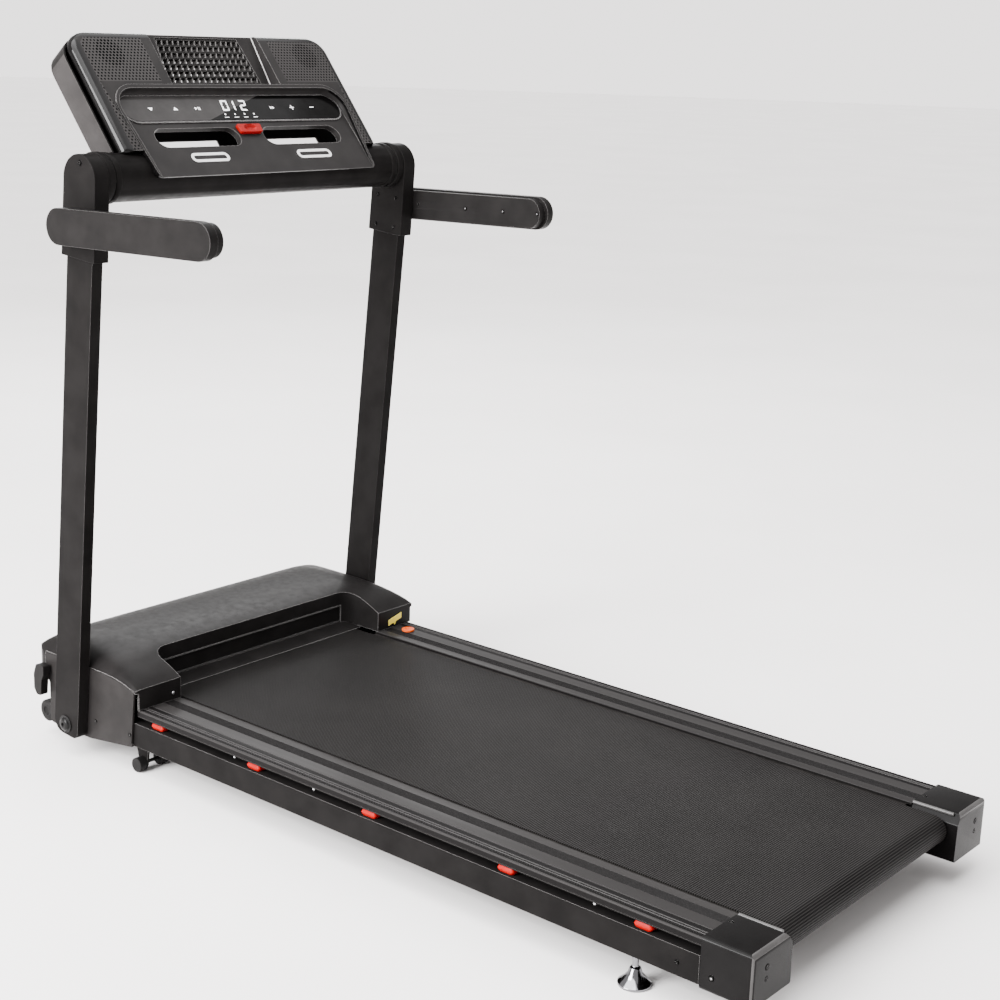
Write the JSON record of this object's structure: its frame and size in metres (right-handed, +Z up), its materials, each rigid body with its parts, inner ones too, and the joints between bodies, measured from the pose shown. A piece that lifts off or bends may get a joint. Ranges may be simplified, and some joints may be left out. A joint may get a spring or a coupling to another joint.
{
  "type": "treadmill",
  "caption": "Folding home treadmill with a cushioned running deck, two leaning uprights, fold-down hand grips and a tilting console on a round cross tube.",
  "frame": {"origin": "on the floor, in the middle of the machine's footprint", "axes": "+Z up, +Y forward from the runner towards the motor hood and console, +X the runner's right"},
  "size_m": [0.77, 1.437, 1.1772],
  "materials": {
    "black_paint": "satin powder coat",
    "black_plastic": "fine moulded texture",
    "grey_plastic": "fine moulded texture",
    "rail_black": "black anodised, ribbed",
    "rubber": "plain",
    "red_elastomer": "plain",
    "red_plastic": "gloss",
    "orange_plastic": "gloss",
    "steel": "zinc plated",
    "chrome": "bright",
    "dark_steel": "dark",
    "board": "waxed fibre board",
    "belt": "fine ribbed top",
    "display_glass": "gloss"
  },
  "bodies": {
    "frame": {"base_frame": "black_paint", "belly_pan": "black_paint", "hood": "black_plastic", "side_cover_left": "grey_plastic", "side_cover_right": "grey_plastic", "end_cap_left": "black_plastic", "end_cap_right": "black_plastic", "tension_bolt_left": "steel", "tension_bolt_right": "steel", "pivot_bolt_left": "steel", "pivot_bolt_right": "steel", "rear_axle": "steel", "front_axle": "steel", "walking_belt": "belt", "motor_body": "dark_steel", "motor_mount": "black_paint", "drive_belt": "rubber", "motor_controller": "dark_steel", "power_inlet": "black_plastic", "cushion_left_1": "red_elastomer", "cushion_left_2": "red_elastomer", "cushion_left_3": "red_elastomer", "cushion_left_4": "red_elastomer", "cushion_left_5": "red_elastomer", "cushion_right_1": "red_elastomer", "cushion_right_2": "red_elastomer", "cushion_right_3": "red_elastomer", "cushion_right_4": "red_elastomer", "cushion_right_5": "red_elastomer"},
    "deck": {"deck_board": "board", "foot_rail_left": "rail_black", "foot_rail_right": "rail_black"},
    "oil_plug": {"oil_cap": "orange_plastic"},
    "uprights": {"upright_left": "black_paint", "upright_right": "black_paint", "head_bracket_left": "black_paint", "head_bracket_right": "black_paint", "cross_tube": "black_paint"},
    "console": {"console_back": "grey_plastic", "console_face": "black_plastic", "display_panel": "display_glass", "tablet_grille": "black_plastic"},
    "key": {"safety_key": "red_plastic"},
    "grip_left": {"grip_inner_left": "black_plastic", "grip_outer_left": "black_plastic"},
    "grip_right": {"grip_inner_right": "black_plastic", "grip_outer_right": "black_plastic"},
    "roller_front": {"front_roller": "steel"},
    "roller_rear": {"rear_roller": "steel"},
    "rotor": {"motor_rotor": "steel"},
    "lever": {"lock_lever": "black_plastic"},
    "rocker": {"power_switch": "red_plastic"},
    "breaker": {"reset_button": "black_plastic"},
    "foot_left": {"rear_foot_left": "chrome"},
    "support_left": {"support_roller_left": "rubber"},
    "wheel_left": {"transport_wheel_left": "rubber"},
    "foot_right": {"rear_foot_right": "chrome"},
    "support_right": {"support_roller_right": "rubber"},
    "wheel_right": {"transport_wheel_right": "rubber"}
  },
  "joints": [
    {"name": "uprights_fold", "type": "hinge", "parent": "frame", "child": "uprights", "pos_m": [0, 0.602, 0.055], "axis": [1, 0, 0], "range_deg": [0, 75]},
    {"name": "console_tilt", "type": "hinge", "parent": "uprights", "child": "console", "pos_m": [0, 0.524, 0.9565], "axis": [1, 0, 0], "range_deg": [0, 45]},
    {"name": "safety_key_pull", "type": "slide", "parent": "console", "child": "key", "axis": [0, -0.7141, 0.7], "range_m": [0, 0.03]},
    {"name": "deck_cushioning", "type": "slide", "parent": "frame", "child": "deck", "axis": [0, 0, 1], "range_m": [-0.003, 0], "stiffness_N_per_m": 300000, "springref_m": 0.0006, "deforming": ["cushion_left_1", "cushion_left_2", "cushion_left_3", "cushion_left_4", "cushion_left_5", "cushion_right_1", "cushion_right_2", "cushion_right_3", "cushion_right_4", "cushion_right_5"]},
    {"name": "oil_cap_pull", "type": "slide", "parent": "deck", "child": "oil_plug", "axis": [0, 0, 1], "range_m": [0, 0.02]},
    {"name": "front_roller_spin", "type": "hinge", "parent": "frame", "child": "roller_front", "pos_m": [0, 0.487, 0.0877], "axis": [1, 0, 0], "continuous": true},
    {"name": "rear_roller_spin", "type": "hinge", "parent": "frame", "child": "roller_rear", "pos_m": [0, -0.682, 0.0877], "axis": [1, 0, 0], "continuous": true},
    {"name": "motor_spin", "type": "hinge", "parent": "frame", "child": "rotor", "pos_m": [-0.24, 0.62, 0.105], "axis": [1, 0, 0], "continuous": true},
    {"name": "lock_lever_release", "type": "hinge", "parent": "frame", "child": "lever", "pos_m": [-0.338, 0.678, 0.128], "axis": [1, 0, 0], "range_deg": [0, 25], "stiffness_Nm_per_rad": 2, "springref_deg": -8.59},
    {"name": "power_switch_rock", "type": "hinge", "parent": "frame", "child": "rocker", "pos_m": [0.234, 0.706, 0.084], "axis": [1, 0, 0], "range_deg": [-5, 5]},
    {"name": "reset_button_press", "type": "slide", "parent": "frame", "child": "breaker", "axis": [0, 1, 0], "range_m": [-0.003, 0], "stiffness_N_per_m": 400, "springref_m": 0.001},
    {"name": "grip_left_fold", "type": "hinge", "parent": "uprights", "child": "grip_left", "pos_m": [-0.355, 0.52526, 0.887], "axis": [1, 0, 0], "range_deg": [0, 95]},
    {"name": "rear_foot_left_level", "type": "slide", "parent": "frame", "child": "foot_left", "axis": [0, 0, 1], "range_m": [-0.012, 0]},
    {"name": "support_roller_left_spin", "type": "hinge", "parent": "frame", "child": "support_left", "pos_m": [-0.308, 0.462, 0.012], "axis": [1, 0, 0], "continuous": true},
    {"name": "transport_wheel_left_spin", "type": "hinge", "parent": "frame", "child": "wheel_left", "pos_m": [-0.307, 0.7, 0.042], "axis": [1, 0, 0], "continuous": true},
    {"name": "grip_right_fold", "type": "hinge", "parent": "uprights", "child": "grip_right", "pos_m": [0.355, 0.52526, 0.887], "axis": [1, 0, 0], "range_deg": [0, 95]},
    {"name": "rear_foot_right_level", "type": "slide", "parent": "frame", "child": "foot_right", "axis": [0, 0, 1], "range_m": [-0.012, 0]},
    {"name": "support_roller_right_spin", "type": "hinge", "parent": "frame", "child": "support_right", "pos_m": [0.308, 0.462, 0.012], "axis": [1, 0, 0], "continuous": true},
    {"name": "transport_wheel_right_spin", "type": "hinge", "parent": "frame", "child": "wheel_right", "pos_m": [0.307, 0.7, 0.042], "axis": [1, 0, 0], "continuous": true}
  ],
  "couplings": [
    {"joint": "rear_roller_spin", "follows": "front_roller_spin", "ratio": 1},
    {"joint": "motor_spin", "follows": "front_roller_spin", "ratio": 2.4615}
  ]
}
